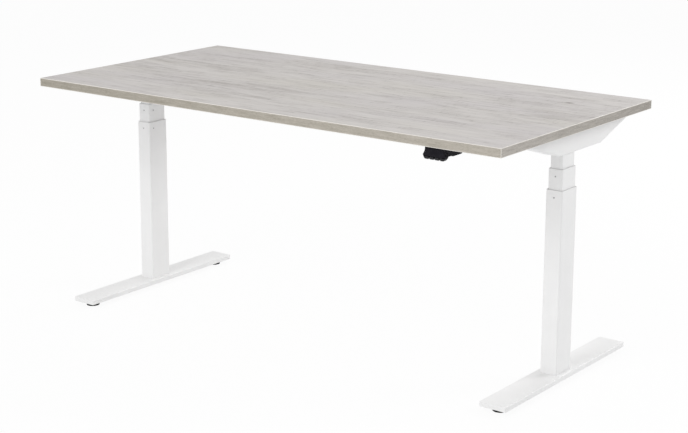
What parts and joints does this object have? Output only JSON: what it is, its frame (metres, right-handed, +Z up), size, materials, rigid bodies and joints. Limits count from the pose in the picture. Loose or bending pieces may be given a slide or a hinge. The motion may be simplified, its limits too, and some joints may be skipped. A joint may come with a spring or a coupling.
{
  "type": "height adjustable standing desk",
  "caption": "Rectangular wood-look desktop on two telescoping lifting columns with flat floor feet, levelling feet and an under-edge handset with keys.",
  "frame": {"origin": "on the floor under the middle of the desktop", "axes": "+X along the desk to the right as seen by the sitter, +Y to the back, +Z up"},
  "size_m": [1.6, 0.8, 0.725],
  "materials": {
    "white_paint": "fine white powder coat",
    "laminate_top": "pale grey oak laminate, matte, grain along the length",
    "laminate_edge": "matching edge band, a little warmer and darker than the top",
    "black_plastic": "moulded, fine texture",
    "grey_plastic": "moulded glide plastic",
    "zinc_steel": "zinc plated",
    "brass": "machined",
    "circuit_board": "solder mask"
  },
  "bodies": {
    "left_base": {"left_foot": "white_paint", "left_base_plate": "zinc_steel", "left_column_screw_front": "zinc_steel", "left_column_screw_rear": "zinc_steel", "left_outer_tube": "white_paint", "left_outer_glide": "grey_plastic", "left_stand_spindle": "zinc_steel"},
    "left_middle_stage": {"left_middle_tube": "white_paint", "left_middle_glide": "grey_plastic", "left_bearing_plate": "zinc_steel"},
    "left_lift_spindle_body": {"left_lift_spindle": "zinc_steel"},
    "left_drive_tube_body": {"left_drive_tube": "zinc_steel"},
    "left_leveller_front": {"left_levelling_foot_front": "black_plastic"},
    "left_leveller_rear": {"left_levelling_foot_rear": "black_plastic"},
    "right_base": {"right_foot": "white_paint", "right_base_plate": "zinc_steel", "right_column_screw_front": "zinc_steel", "right_column_screw_rear": "zinc_steel", "right_outer_tube": "white_paint", "right_outer_glide": "grey_plastic", "right_stand_spindle": "zinc_steel"},
    "right_middle_stage": {"right_middle_tube": "white_paint", "right_middle_glide": "grey_plastic", "right_bearing_plate": "zinc_steel"},
    "right_lift_spindle_body": {"right_lift_spindle": "zinc_steel"},
    "right_drive_tube_body": {"right_drive_tube": "zinc_steel"},
    "right_leveller_front": {"right_levelling_foot_front": "black_plastic"},
    "right_leveller_rear": {"right_levelling_foot_rear": "black_plastic"},
    "desk_top": {"left_inner_tube": "white_paint", "left_lift_nut": "brass", "left_gearbox": "black_plastic", "left_motor": "zinc_steel", "left_bracket": "white_paint", "left_desk_screw_front": "zinc_steel", "left_desk_screw_rear": "zinc_steel", "right_inner_tube": "white_paint", "right_lift_nut": "brass", "right_gearbox": "black_plastic", "right_motor": "zinc_steel", "right_bracket": "white_paint", "right_desk_screw_front": "zinc_steel", "right_desk_screw_rear": "zinc_steel", "desktop_panel": "laminate_top", "edge_band_front": "laminate_edge", "edge_band_rear": "laminate_edge", "edge_band_left": "laminate_edge", "edge_band_right": "laminate_edge", "cross_rail_front": "white_paint", "cross_rail_rear": "white_paint", "control_box_housing": "black_plastic", "control_box_board": "circuit_board", "control_box_lid": "black_plastic", "handset_plate": "black_plastic", "handset_housing": "black_plastic", "handset_board": "circuit_board"},
    "key_down_body": {"key_down": "black_plastic"},
    "key_memory_1_body": {"key_memory_1": "black_plastic"},
    "key_memory_2_body": {"key_memory_2": "black_plastic"},
    "key_up_body": {"key_up": "black_plastic"}
  },
  "joints": [
    {"name": "left_lower_stage", "type": "slide", "parent": "left_base", "child": "left_middle_stage", "axis": [0, 0, 1], "range_m": [-0.03, 0.28]},
    {"name": "left_upper_stage", "type": "slide", "parent": "left_middle_stage", "child": "desk_top", "axis": [0, 0, 1], "range_m": [-0.03, 0.28]},
    {"name": "right_upper_stage", "type": "slide", "parent": "desk_top", "child": "right_middle_stage", "axis": [0, 0, 1], "range_m": [-0.28, 0.03]},
    {"name": "right_lower_stage", "type": "slide", "parent": "right_middle_stage", "child": "right_base", "axis": [0, 0, 1], "range_m": [-0.28, 0.03]},
    {"name": "left_lift_spindle_spin", "type": "hinge", "parent": "left_middle_stage", "child": "left_lift_spindle_body", "pos_m": [-0.74, 0.013, 0.1], "axis": [0, 0, 1], "range_deg": [-1081, 10081]},
    {"name": "left_drive_tube_spin", "type": "hinge", "parent": "desk_top", "child": "left_drive_tube_body", "pos_m": [-0.74, 0.013, 0.6], "axis": [0, 0, 1], "range_deg": [-1081, 10081]},
    {"name": "left_leveller_front_screw", "type": "slide", "parent": "left_base", "child": "left_leveller_front", "axis": [0, 0, 1], "range_m": [-0.006, 0]},
    {"name": "left_leveller_rear_screw", "type": "slide", "parent": "left_base", "child": "left_leveller_rear", "axis": [0, 0, 1], "range_m": [-0.006, 0]},
    {"name": "right_lift_spindle_spin", "type": "hinge", "parent": "right_middle_stage", "child": "right_lift_spindle_body", "pos_m": [0.74, 0.013, 0.1], "axis": [0, 0, 1], "range_deg": [-1081, 10081]},
    {"name": "right_drive_tube_spin", "type": "hinge", "parent": "desk_top", "child": "right_drive_tube_body", "pos_m": [0.74, 0.013, 0.6], "axis": [0, 0, 1], "range_deg": [-1081, 10081]},
    {"name": "right_leveller_front_screw", "type": "slide", "parent": "right_base", "child": "right_leveller_front", "axis": [0, 0, 1], "range_m": [-0.006, 0]},
    {"name": "right_leveller_rear_screw", "type": "slide", "parent": "right_base", "child": "right_leveller_rear", "axis": [0, 0, 1], "range_m": [-0.006, 0]},
    {"name": "key_down_press", "type": "slide", "parent": "desk_top", "child": "key_down_body", "axis": [0, 0, 1], "range_m": [0, 0.0015], "stiffness_N_per_m": 400, "springref_m": -0.0005},
    {"name": "key_memory_1_press", "type": "slide", "parent": "desk_top", "child": "key_memory_1_body", "axis": [0, 0, 1], "range_m": [0, 0.0015], "stiffness_N_per_m": 400, "springref_m": -0.0005},
    {"name": "key_memory_2_press", "type": "slide", "parent": "desk_top", "child": "key_memory_2_body", "axis": [0, 0, 1], "range_m": [0, 0.0015], "stiffness_N_per_m": 400, "springref_m": -0.0005},
    {"name": "key_up_press", "type": "slide", "parent": "desk_top", "child": "key_up_body", "axis": [0, 0, 1], "range_m": [0, 0.0015], "stiffness_N_per_m": 400, "springref_m": -0.0005}
  ],
  "couplings": [
    {"joint": "left_upper_stage", "follows": "left_lower_stage", "ratio": 1},
    {"joint": "right_upper_stage", "follows": "left_lower_stage", "ratio": -1},
    {"joint": "right_lower_stage", "follows": "left_lower_stage", "ratio": -1},
    {"joint": "left_lift_spindle_spin", "follows": "left_lower_stage", "rad_per_m": 628.32},
    {"joint": "left_drive_tube_spin", "follows": "left_lower_stage", "rad_per_m": 628.32},
    {"joint": "right_lift_spindle_spin", "follows": "left_lower_stage", "rad_per_m": 628.32},
    {"joint": "right_drive_tube_spin", "follows": "left_lower_stage", "rad_per_m": 628.32}
  ]
}
